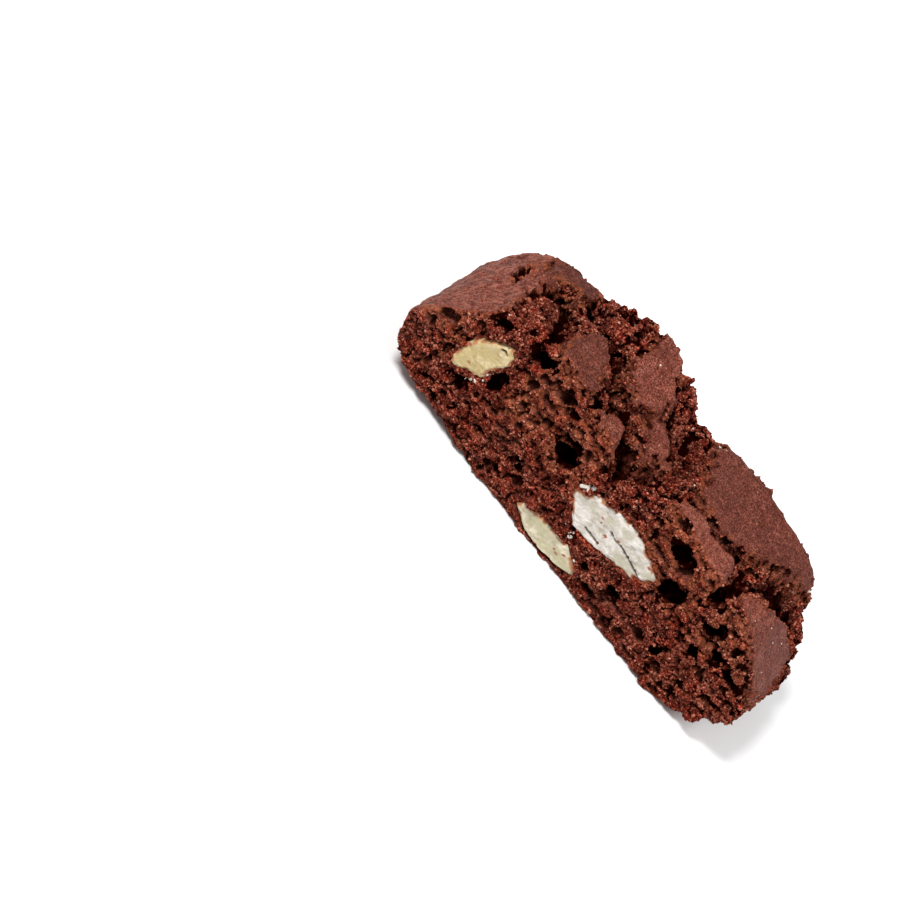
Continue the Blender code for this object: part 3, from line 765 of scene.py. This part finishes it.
def plate_tones_and_painted_light(points):
    """How light each point's plate is beside the others, partly its own tone and partly painted light and
    shade.
    """
    tone = np.ones(len(points))
    for name, value in PLATE_TONES_AND_PAINTED_LIGHT.items():
        depth = outline_depth(points[:, 0] - CENTRE_X, points[:, 1], (PLATES[name],))
        tone += (value - 1.0) * smoothstep(-1.2, 0.6, depth)
    return tone


def keep_largest(piece):
    """Removes the small loose shells that the remesh leaves."""
    shape = bmesh.new()
    shape.from_mesh(piece.data)
    shape.verts.ensure_lookup_table()
    group = np.full(len(shape.verts), -1)
    sizes = []
    for vert in shape.verts:
        if group[vert.index] >= 0:
            continue
        stack = [vert]
        group[vert.index] = len(sizes)
        size = 0
        while stack:
            here = stack.pop()
            size += 1
            for edge in here.link_edges:
                other = edge.other_vert(here)
                if group[other.index] < 0:
                    group[other.index] = len(sizes)
                    stack.append(other)
        sizes.append(size)
    largest = int(np.argmax(sizes))
    loose = [vert for vert in shape.verts if group[vert.index] != largest]
    bmesh.ops.delete(shape, geom=loose, context="VERTS")
    shape.to_mesh(piece.data)
    shape.free()


def swollen_almond(node, name, growth):
    """A copy of an almond that reaches past its pocket's walls, its cut face where it was."""
    piece = merged_copy(node, name)
    points, normals = read_points(piece)
    points += normals * growth
    points[:, 1] = np.clip(points[:, 1], -FACE_LEVEL, FACE_LEVEL)
    write_points(piece, points)
    return piece


def mark_surface(body, sheltered, pit):
    """Writes what the materials read: crust, plate tone with painted light and shade, painted shade for
    sheltered holes and pores, torn edges with a painted highlight on the upper brim, and hollows for painted
    shade.
    """
    points, normals = read_points(body)
    crust, face, _, depth = surface_masks(points, normals, sheltered)
    write_attribute(body, "crust", crust)
    write_attribute(body, "plate_tone_and_painted_light", plate_tones_and_painted_light(points))
    sunk = HALF - np.abs(points[:, 1])
    holes = np.maximum(sheltered * smoothstep(0.2, 1.3, sunk), pit * smoothstep(0.9, 1.7, sunk))
    write_attribute(body, "sheltered", holes)
    # the upper brim of the cut faces, turned up toward the light, takes the edge colour as a painted
    # highlight
    brim = np.exp(-(((normals[:, 2] - 0.4) / 0.3) ** 2)) * (np.abs(points[:, 1]) > HALF - 1.3)
    brim = brim * smoothstep(-2.0, -0.5, depth) * (points[:, 2] > BRIM_HEIGHT)
    torn = np.exp(-((depth + 0.15) / 0.45) ** 2) * (1.0 - face)
    write_attribute(body, "edge", np.maximum(torn, brim))
    write_attribute(body, "hollow", cavity(body, HOLLOW_PASSES))


def biscuit_body():
    """The body, closed behind its almonds, with all of its crust and crumb relief."""
    body = merged_copy("biscuit", "biscuit_body")
    tree = shape_tree(body)
    plugs = [swollen_almond(node, "plug_" + node, ALMOND_GROWTH) for node in ALMOND_NODES]
    select_only(body)
    for plug in plugs:
        plug.select_set(True)
    bpy.ops.object.join()
    apply_modifier(body, "REMESH", mode="VOXEL", voxel_size=BODY_VOXEL * MM)
    keep_largest(body)
    apply_modifier(body, "SMOOTH", factor=0.5, iterations=BODY_SMOOTHING)
    points, normals = read_points(body)
    sheltered = sheltered_share(points, normals, tree)
    pit = grow_crumb(body, sheltered, wall_thickness(points, normals, tree))
    blunt_spikes(body)
    mark_surface(body, sheltered, pit)
    body.data.calc_loop_triangles()
    share = BODY_TRIANGLES / len(body.data.loop_triangles)
    apply_modifier(body, "DECIMATE", ratio=share, use_collapse_triangulate=True)
    write_attribute(body, "cavity", cavity(body, CAVITY_PASSES))
    write_attribute(body, "deep", cavity(body, DEEP_PASSES))
    body.data.shade_smooth()
    return body


def grain_shapes(rng, centres, sizes, faces_each, flat=1.0):
    """Points and triangles of one uneven angular crumb at each centre, with 8 or 20 faces."""
    count = len(centres)
    shape = bmesh.new()
    if faces_each == 20:
        bmesh.ops.create_icosphere(shape, subdivisions=1, radius=1.0)
    else:
        bmesh.ops.create_uvsphere(shape, u_segments=4, v_segments=2, radius=1.0)
    seed_points = np.array([vert.co for vert in shape.verts])
    seed_faces = np.array([[vert.index for vert in face.verts] for face in shape.faces])
    shape.free()
    turn, _ = np.linalg.qr(rng.normal(size=(count, 3, 3)))
    stretch = rng.uniform(0.55, 1.45, (count, 1, 3)) * (1.0, 1.0, flat)
    bumps = rng.uniform(0.65, 1.3, (count, len(seed_points), 1))
    points = np.einsum("nij,nkj->nki", turn, seed_points[None] * bumps * stretch) * sizes[:, None, None]
    points += centres[:, None, :]
    faces = seed_faces[None] + (np.arange(count) * len(seed_points))[:, None, None]
    flips = np.linalg.det(turn) < 0.0
    faces[flips] = faces[flips][:, :, ::-1]
    return points.reshape(-1, 3), faces.reshape(-1, 3), len(seed_points)


def scattered_grains(body, name, y_low, y_high, seed):
    """Small angular crumbs set into the body's open crumb, as one mesh."""
    rng = np.random.default_rng(seed)
    points, normals = read_points(body)
    mesh = body.data
    mesh.calc_loop_triangles()
    corners = np.empty(len(mesh.loop_triangles) * 3, np.int32)
    mesh.loop_triangles.foreach_get("vertices", corners)
    corners = corners.reshape(-1, 3)
    a, b, c = points[corners[:, 0]], points[corners[:, 1]], points[corners[:, 2]]
    centre = (a + b + c) / 3.0
    area = np.linalg.norm(np.cross(b - a, c - a), axis=1) / 2.0
    marks = {mark: read_attribute(body, mark)[corners].mean(axis=1) for mark in GRAIN_MARKS}
    crust = read_attribute(body, "crust")[corners].mean(axis=1)
    wanted = area * (crust < 0.35) * smoothstep(0.35, 0.0, marks["hollow"]) * (centre[:, 2] > 0.25)
    wanted *= smoothstep(0.62, 0.38, marks["split"]) * smoothstep(1.6, 0.8, marks["deep"])
    wanted *= smoothstep(0.6, 0.2, marks["sheltered"])
    wanted *= (centre[:, 1] >= y_low) & (centre[:, 1] < y_high)
    depth = section_depth(centre)
    wanted *= np.where(depth < 0.1, 1.0, 0.12 * (depth < 0.6))
    chance = wanted / wanted.sum()

    parts, start = [], 0
    values = {mark: [] for mark in GRAIN_MARKS}
    tones = []
    for faces_each, count, small, large in GRAIN_KINDS:
        picked = rng.choice(len(chance), size=count, p=chance)
        split = rng.dirichlet((1.0, 1.0, 1.0), count)
        at = a[picked] * split[:, :1] + b[picked] * split[:, 1:2] + c[picked] * split[:, 2:]
        out = normals[corners[picked]].mean(axis=1)
        size = rng.uniform(0.0, 1.0, count) ** 2.0 * (large - small) + small
        at += out * (size * rng.uniform(-0.4, 0.5, count))[:, None]
        at[:, 2] = np.maximum(at[:, 2], size * 1.3)
        grain_points, faces, each = grain_shapes(rng, at, size, faces_each)
        parts.append((grain_points, faces + start))
        start += len(grain_points)
        tones.append(np.repeat(rng.uniform(0.0, 1.0, count), each))
        for mark in GRAIN_MARKS:
            values[mark].append(np.repeat(marks[mark][picked], each))

    grains = bpy.data.meshes.new(name)
    all_points = np.concatenate([part[0] for part in parts])
    all_points[:, 2] = np.maximum(all_points[:, 2], 0.0)
    all_faces = np.concatenate([part[1] for part in parts])
    grains.from_pydata((all_points * MM).tolist(), [], all_faces.tolist())
    grains.update()
    piece = bpy.data.objects.new(name, grains)
    bpy.context.scene.collection.objects.link(piece)
    write_attribute(piece, "tone", np.concatenate(tones))
    for mark in GRAIN_MARKS:
        write_attribute(piece, mark, np.concatenate(values[mark]))
    return piece


class Nodes:
    """Short calls for building one material's nodes."""

    def __init__(self, name):
        self.material = bpy.data.materials.new(name)
        self.material.use_nodes = True
        self.tree = self.material.node_tree
        self.shader = self.tree.nodes["Principled BSDF"]
        self.place = self.tree.nodes.new("ShaderNodeTexCoord").outputs["Object"]

    def add(self, kind, **settings):
        node = self.tree.nodes.new(kind)
        for name, value in settings.items():
            setattr(node, name, value)
        return node

    def link(self, source, target):
        self.tree.links.new(source, target)

    def noise(self, size_mm, detail, roughness=0.55):
        node = self.add("ShaderNodeTexNoise")
        node.inputs["Scale"].default_value = 1.0 / (size_mm * MM)
        node.inputs["Detail"].default_value = detail
        node.inputs["Roughness"].default_value = roughness
        self.link(self.place, node.inputs["Vector"])
        return node.outputs["Fac"]

    def streaks(self, size_mm, stretch):
        """Noise drawn out along one direction."""
        mapping = self.add("ShaderNodeMapping")
        mapping.inputs["Scale"].default_value = stretch
        self.link(self.place, mapping.inputs["Vector"])
        node = self.add("ShaderNodeTexNoise")
        node.inputs["Scale"].default_value = 1.0 / (size_mm * MM)
        node.inputs["Detail"].default_value = 4.0
        self.link(mapping.outputs["Vector"], node.inputs["Vector"])
        return node.outputs["Fac"]

    def grains(self, size_mm):
        node = self.add("ShaderNodeTexVoronoi", feature="F1")
        node.inputs["Scale"].default_value = 1.0 / (size_mm * MM)
        self.link(self.place, node.inputs["Vector"])
        return node.outputs["Distance"]

    def attribute(self, name):
        return self.add("ShaderNodeAttribute", attribute_name=name).outputs["Fac"]

    def ramp(self, value, stops):
        node = self.add("ShaderNodeValToRGB")
        elements = node.color_ramp.elements
        while len(elements) < len(stops):
            elements.new(0.5)
        for element, (place, colour) in zip(elements, stops):
            element.position = place
            element.color = (*colour, 1.0)
        self.link(value, node.inputs["Fac"])
        return node.outputs["Color"]

    def mix(self, share, first, second, blend="MIX"):
        node = self.add("ShaderNodeMix", data_type="RGBA", blend_type=blend)
        self.feed(share, node.inputs[0])
        self.feed(first, node.inputs[6])
        self.feed(second, node.inputs[7])
        return node.outputs[2]

    def math(self, kind, first, second=0.0, third=0.0):
        node = self.add("ShaderNodeMath", operation=kind)
        self.feed(first, node.inputs[0])
        self.feed(second, node.inputs[1])
        self.feed(third, node.inputs[2])
        return node.outputs[0]

    def span(self, value, low, high, to_low=0.0, to_high=1.0):
        node = self.add("ShaderNodeMapRange")
        self.link(value, node.inputs["Value"])
        for name, number in zip(("From Min", "From Max", "To Min", "To Max"), (low, high, to_low, to_high)):
            node.inputs[name].default_value = number
        return node.outputs[0]

    def feed(self, value, target):
        if isinstance(value, bpy.types.NodeSocket):
            self.link(value, target)
        elif isinstance(value, tuple):
            target.default_value = (*value, 1.0)
        else:
            target.default_value = value

    def bump(self, height, depth_mm, strength=1.0, after=None):
        node = self.add("ShaderNodeBump")
        node.inputs["Strength"].default_value = strength
        node.inputs["Distance"].default_value = depth_mm * MM
        self.link(height, node.inputs["Height"])
        if after:
            self.link(after, node.inputs["Normal"])
        return node.outputs["Normal"]


def crumb_colour(n):
    """Baked chocolate crumb: near-black specks, red brown body, lighter orange brown specks, and the torn
    edges' colour, which on the upper brim is a painted highlight.
    """
    crumb = n.ramp(n.noise(0.42, 5.0, 0.78), CRUMB_STOPS)
    red = n.mix(1.0, crumb, RED_TINT, "MULTIPLY")
    crumb = n.mix(n.span(n.noise(3.4, 3.0), 0.42, 0.62), crumb, red)
    crumb = n.mix(1.0, crumb, n.ramp(n.noise(1.5, 3.0), CRUMB_SHADES), "MULTIPLY")
    # torn edges' colour, and a painted highlight on the upper brim
    return n.mix(n.span(n.attribute("edge"), 0.1, 0.9, 0.0, 0.42), crumb, TORN_EDGE_AND_BRIM_HIGHLIGHT)


def shaded_share(n):
    """How much painted shade a place gets for lying deep in a pore, a split, a dark hollow of the open top or
    a sheltered hole.
    """
    pore = n.span(n.attribute("hollow"), -0.05, 0.42)
    pit = n.span(n.attribute("deep"), 0.35, 1.7)
    split = n.span(n.attribute("split"), 0.15, 0.7)
    hole = n.math("MULTIPLY", n.attribute("sheltered"), 0.98)
    return n.math("MAXIMUM", n.math("MAXIMUM", pore, pit), n.math("MAXIMUM", split, hole))


def crust_colour(n):
    """Baked chocolate skin: speckled plates lightened or darkened partly by painted light and shade, an end
    with painted highlight streaks and painted shade in groove lines, light torn edges with a painted
    highlight on the upper brim, and painted shade in deep hollows.
    """
    skin = n.ramp(n.noise(1.0, 9.0, 0.80), SKIN_STOPS)
    skin = n.mix(n.span(n.noise(6.0, 3.0), 0.42, 0.60, 0.0, 0.6), skin, SKIN_PATCH)
    skin = n.mix(n.span(n.streaks(1.1, (1.0, 1.0, 0.22)), 0.50, 0.66, 0.0, 0.45), skin, SKIN_STREAK)
    skin = n.mix(1.0, skin, n.ramp(n.noise(0.27, 2.0, 0.65), SPECKLE_STOPS), "MULTIPLY")
    # plate tone: partly the plates' own tone, partly painted light and shade
    skin = n.mix(1.0, skin, n.attribute("plate_tone_and_painted_light"), "MULTIPLY")
    skin = n.mix(1.0, skin, SKIN_WARMTH, "MULTIPLY")
    skin = n.mix(n.span(n.grains(1.9), 0.095, 0.05, 0.0, 0.7), skin, LIGHT_SPECK)
    end = n.span(n.attribute("plate_tone_and_painted_light"), 1.15, 1.26)
    # lighter streaks on the end crust: painted highlights
    highlight_streaks = n.span(n.streaks(0.6, (1.0, 1.0, 0.13)), 0.50, 0.60, 0.0, 0.6)
    skin = n.mix(n.math("MULTIPLY", end, highlight_streaks), skin, END_PAINTED_HIGHLIGHT_STREAK)
    # dark streaks on the end crust: painted shade of groove lines
    groove_shade = n.span(n.streaks(0.9, (1.0, 1.0, 0.10)), 0.48, 0.39, 0.0, 0.65)
    skin = n.mix(n.math("MULTIPLY", end, groove_shade), skin, END_GROOVE_PAINTED_SHADE)
    # torn edges' colour on the skin, and a painted highlight on the upper brim
    skin = n.mix(n.span(n.attribute("edge"), 0.2, 0.9, 0.0, 0.6), skin, SKIN_EDGE_AND_BRIM_HIGHLIGHT)
    # painted shade in deep hollows of the crust
    return n.mix(n.span(n.attribute("deep"), 0.2, 1.2, 0.0, 0.7), skin, SKIN_HOLLOW_PAINTED_SHADE)


def biscuit_material():
    n = Nodes("baked_chocolate_crumb")
    crust = n.attribute("crust")
    dark = shaded_share(n)
    # painted shade in crevices, then in pores, splits, hollows of the open top and sheltered holes
    crumb = n.mix(n.span(n.attribute("cavity"), -0.02, 0.09), crumb_colour(n), CREVICE_PAINTED_SHADE)
    crumb = n.mix(n.math("MULTIPLY", dark, 0.97), crumb, HOLE_PAINTED_SHADE)
    n.link(n.mix(crust, crumb, crust_colour(n)), n.shader.inputs["Base Color"])
    n.link(n.span(crust, 0.0, 1.0, 0.85, 0.60), n.shader.inputs["Roughness"])
    shine = n.math("MULTIPLY", n.span(crust, 0.0, 1.0, 0.07, 0.17), n.span(dark, 0.0, 0.8, 1.0, 0.0))
    n.link(shine, n.shader.inputs["Specular IOR Level"])
    n.shader.inputs["Specular Tint"].default_value = (1.0, 0.62, 0.52, 1.0)
    grain = n.math("ADD", n.grains(0.36), n.math("MULTIPLY", n.noise(0.25, 3.0, 0.75), 1.6))
    rough = n.math("MULTIPLY", grain, n.span(crust, 0.0, 1.0, -1.0, -0.55))
    n.link(n.bump(rough, 0.24), n.shader.inputs["Normal"])
    return n.material


def grain_material():
    n = Nodes("loose_chocolate_crumb")
    tone = n.attribute("tone")
    crumb = crumb_colour(n)
    crumb = n.mix(n.span(tone, 0.40, 0.0, 0.0, 0.8), crumb, GRAIN_SHADE)
    crumb = n.mix(n.span(tone, 0.75, 1.0, 0.0, 0.65), crumb, GRAIN_LIGHT)
    # painted shade on loose crumbs that lie in pores, splits, hollows and holes
    crumb = n.mix(n.math("MULTIPLY", shaded_share(n), 0.92), crumb, GRAIN_PAINTED_SHADE)
    n.link(crumb, n.shader.inputs["Base Color"])
    n.shader.inputs["Roughness"].default_value = 0.6
    n.shader.inputs["Specular IOR Level"].default_value = 0.12
    n.shader.inputs["Specular Tint"].default_value = (1.0, 0.72, 0.60, 1.0)
    n.link(n.bump(n.noise(0.14, 3.0, 0.7), 0.12), n.shader.inputs["Normal"])
    return n.material


def almond_material(name, colours):
    """Cut almond: chalky where it broke, glassy where it was cut, with a brown skin line, crumb stains and
    painted shade in its fissures.
    """
    n = Nodes(name)
    pale, mid, shade, glassy = colours
    tone = n.noise(1.7, 6.0, 0.62)
    colour = n.ramp(tone, ((0.34, shade), (0.47, mid), (0.60, pale)))
    colour = n.mix(n.attribute("glassy"), colour, glassy)
    colour = n.mix(n.span(n.noise(0.3, 3.0), 0.60, 0.75, 0.0, 0.35), colour, ALMOND_WHITE)
    colour = n.mix(n.attribute("rim"), colour, ALMOND_SKIN)
    colour = n.mix(n.attribute("stain"), colour, CRUMB_STAIN)
    # painted shade in the fissures
    colour = n.mix(n.attribute("fissure"), colour, FISSURE_PAINTED_SHADE)
    n.link(colour, n.shader.inputs["Base Color"])
    n.link(n.span(n.attribute("glassy"), 0.0, 1.0, 0.62, 0.38), n.shader.inputs["Roughness"])
    n.shader.inputs["Subsurface Weight"].default_value = 0.15
    n.shader.inputs["Subsurface Radius"].default_value = (0.0010, 0.0008, 0.0005)
    height = n.math("ADD", n.noise(0.5, 5.0, 0.65), n.math("MULTIPLY", n.grains(0.7), 0.6))
    n.link(n.bump(height, 0.14), n.shader.inputs["Normal"])
    return n.material


def section_marks(points, section):
    """Shares of open fissure, crumb stain and smooth glassy cut at each point of an almond."""
    x, z = points[:, 0], points[:, 2]
    fissure, stain, glassy = np.zeros(len(points)), np.zeros(len(points)), np.zeros(len(points))
    wobble = 0.10 * lumps(points, 0.5, 67.0)
    for line in FISSURES.get(section, ()):
        away = edge_distance(x, z, line, False) + wobble
        fissure = np.maximum(fissure, np.exp(-(np.maximum(away, 0.0) / 0.19) ** 2))
    for at_x, at_z in STAINS.get(section, ()):
        away = np.hypot((x - at_x) / 0.42, (z - at_z) / 0.26) + 6.0 * wobble
        stain = np.maximum(stain, smoothstep(1.1, 0.6, away))
    for at_x, at_z, reach in GLASSY.get(section, ()):
        away = np.hypot(x - at_x, (z - at_z) * 1.5) / reach + 0.5 * lumps(points, 1.0, 71.0)
        glassy = np.maximum(glassy, 0.8 * smoothstep(1.35, 0.45, away))
    return fissure, stain, glassy


def almond_piece(node, name, side, section, material, growth=ALMOND_GROWTH):
    """An almond whose cut face keeps to its outline, chipped and cracked, and sinks away beyond it."""
    piece = swollen_almond(node, name, growth)
    apply_modifier(piece, "REMESH", mode="VOXEL", voxel_size=ALMOND_VOXEL * MM)
    apply_modifier(piece, "SMOOTH", factor=0.5, iterations=3)
    points, _ = read_points(piece)
    outlines = FRONT_SECTIONS if side < 0 else BACK_SECTIONS
    depth = outline_depth(points[:, 0], points[:, 2], (outlines[section],)) + ragged(points, 0.10, 0.10)
    near = smoothstep(HALF - 2.0, HALF - 1.0, points[:, 1] * side)
    _, chip_number, _ = cells(points * (0.7, 1.0, 1.5) + 0.25 * ragged(points, 1.0, 1.0)[:, None], 1.3, 61)
    fissure, stain, glassy = section_marks(points, section)
    relief = CUT_SWELL * lumps(points, 2.4, 73.0) + CHIP_STEP * (chip_number - 0.5) * (1.0 - glassy)
    relief = relief - FISSURE_DEPTH * fissure - ROUNDED_EDGE * smoothstep(0.7, 0.0, depth)
    points[:, 1] += side * near * (relief - SUNK_SURROUND * smoothstep(0.02, -0.35, depth))
    points[:, 2] = np.maximum(points[:, 2], 0.0)
    write_points(piece, points)
    write_attribute(piece, "fissure", fissure)
    write_attribute(piece, "stain", stain * near)
    write_attribute(piece, "glassy", glassy)
    broken = smoothstep(-0.15, 0.15, lumps(points, 1.1, 79.0) + 0.12)
    write_attribute(piece, "rim", smoothstep(0.75, 0.35, depth) * broken)
    piece.data.shade_smooth()
    piece.data.materials.append(material)
    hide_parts(node)
    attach(piece, "root")


def make_camera():
    down = math.radians(CAMERA_DOWN)
    roll = math.radians(CAMERA_ROLL)
    ahead = Vector((0.0, math.cos(down), -math.sin(down)))
    above = Vector((0.0, math.sin(down), math.cos(down)))
    along = Vector((1.0, 0.0, 0.0))
    right = along * math.cos(roll) + above * math.sin(roll)
    up = above * math.cos(roll) - along * math.sin(roll)
    turn = Matrix((right, up, -ahead)).transposed().to_4x4()
    data = bpy.data.cameras.new("camera")
    data.lens = LENS
    data.sensor_width = 36.0
    data.clip_start = 0.01
    data.clip_end = 20.0
    camera = bpy.data.objects.new("camera", data)
    camera.matrix_world = Matrix.Translation(Vector(CAMERA_AT) * MM) @ turn
    bpy.context.scene.collection.objects.link(camera)
    bpy.context.scene.camera = camera
    return right, up, ahead


def area_light(name, place, size, power, view):
    """A disk of light aimed at the lit point, its place given in m back, right and up of it in the view."""
    right, up, ahead = view
    back, aside, above = place
    aim = Vector(LIT_POINT)
    data = bpy.data.lights.new(name, "AREA")
    data.shape = "DISK"
    data.size = size
    data.energy = power
    light = bpy.data.objects.new(name, data)
    light.location = aim - ahead * back + up * above + right * aside
    light.rotation_euler = (aim - light.location).to_track_quat("-Z", "Y").to_euler()
    bpy.context.scene.collection.objects.link(light)


def make_studio():
    bpy.ops.object.select_all(action="DESELECT")
    bpy.ops.mesh.primitive_plane_add(size=FLOOR_SIZE, location=(0, 0, 0))
    floor = bpy.context.active_object
    floor.name = "floor"
    n = Nodes("pale_floor")
    n.link(n.ramp(n.noise(60.0, 2.0), FLOOR_STOPS), n.shader.inputs["Base Color"])
    n.shader.inputs["Roughness"].default_value = 0.9
    floor.data.materials.append(n.material)
    world = bpy.data.worlds.new("studio")
    world.use_nodes = True
    world.node_tree.nodes["Background"].inputs["Color"].default_value = (1.0, 1.0, 1.0, 1.0)
    world.node_tree.nodes["Background"].inputs["Strength"].default_value = WORLD_STRENGTH
    bpy.context.scene.world = world
    bpy.context.scene.view_settings.view_transform = "Standard"


def almond_flecks(body, material):
    """Small white flakes of almond resting on the crumb."""
    rng = np.random.default_rng(11)
    tree = shape_tree(body)
    places, sizes = [], []
    for x, y, size in FLECKS_ABOVE:
        at, _, _, _ = tree.ray_cast(Vector((x, y, 45.0)), Vector((0.0, 0.0, -1.0)))
        places.append(at + Vector((0.0, -0.02, 0.05)))
        sizes.append(size)
    for x, z, size in FLECKS_IN_FRONT:
        at, _, _, _ = tree.ray_cast(Vector((x, -20.0, z)), Vector((0.0, 1.0, 0.0)))
        places.append(Vector((at.x, min(max(at.y, -HALF - 0.3), -HALF + 0.4), at.z)))
        sizes.append(size)
    points, faces, _ = grain_shapes(rng, np.array(places), np.array(sizes), 20, 0.45)
    mesh = bpy.data.meshes.new("almond_flecks")
    mesh.from_pydata((points * MM).tolist(), [], faces.tolist())
    mesh.update()
    piece = bpy.data.objects.new("almond_flecks", mesh)
    bpy.context.scene.collection.objects.link(piece)
    write_attribute(piece, "glassy", np.zeros(len(points)))
    piece.data.materials.append(material)
    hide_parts("almond_large")
    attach(piece, "root")


view = make_camera()
make_studio()
area_light("key", KEY_PLACE, KEY_SIZE, KEY_POWER, view)
area_light("fill", FILL_PLACE, FILL_SIZE, FILL_POWER, view)

body = biscuit_body()
body.data.materials.append(biscuit_material())
loose_crumb = grain_material()
grains = [scattered_grains(body, *band) for band in GRAIN_BANDS]
for piece in grains:
    piece.data.materials.append(loose_crumb)
for piece in [body] + grains:
    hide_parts("biscuit")
    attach(piece, "root")

chalk = almond_material("almond_chalk", CHALK)
straw = almond_material("almond_straw", STRAW)
olive = almond_material("almond_olive", OLIVE)
almond_piece("almond_upper", "upper_almond", -1, "upper", straw)
almond_piece("almond_large", "large_almond", -1, "large", chalk)
almond_piece("almond_lower", "lower_almond", -1, "lower", olive, LOWER_GROWTH)
almond_piece("almond_back_left", "back_left_almond", 1, "back_left", straw)
almond_piece("almond_back_right", "back_right_almond", 1, "back_right", chalk)
almond_flecks(body, chalk)
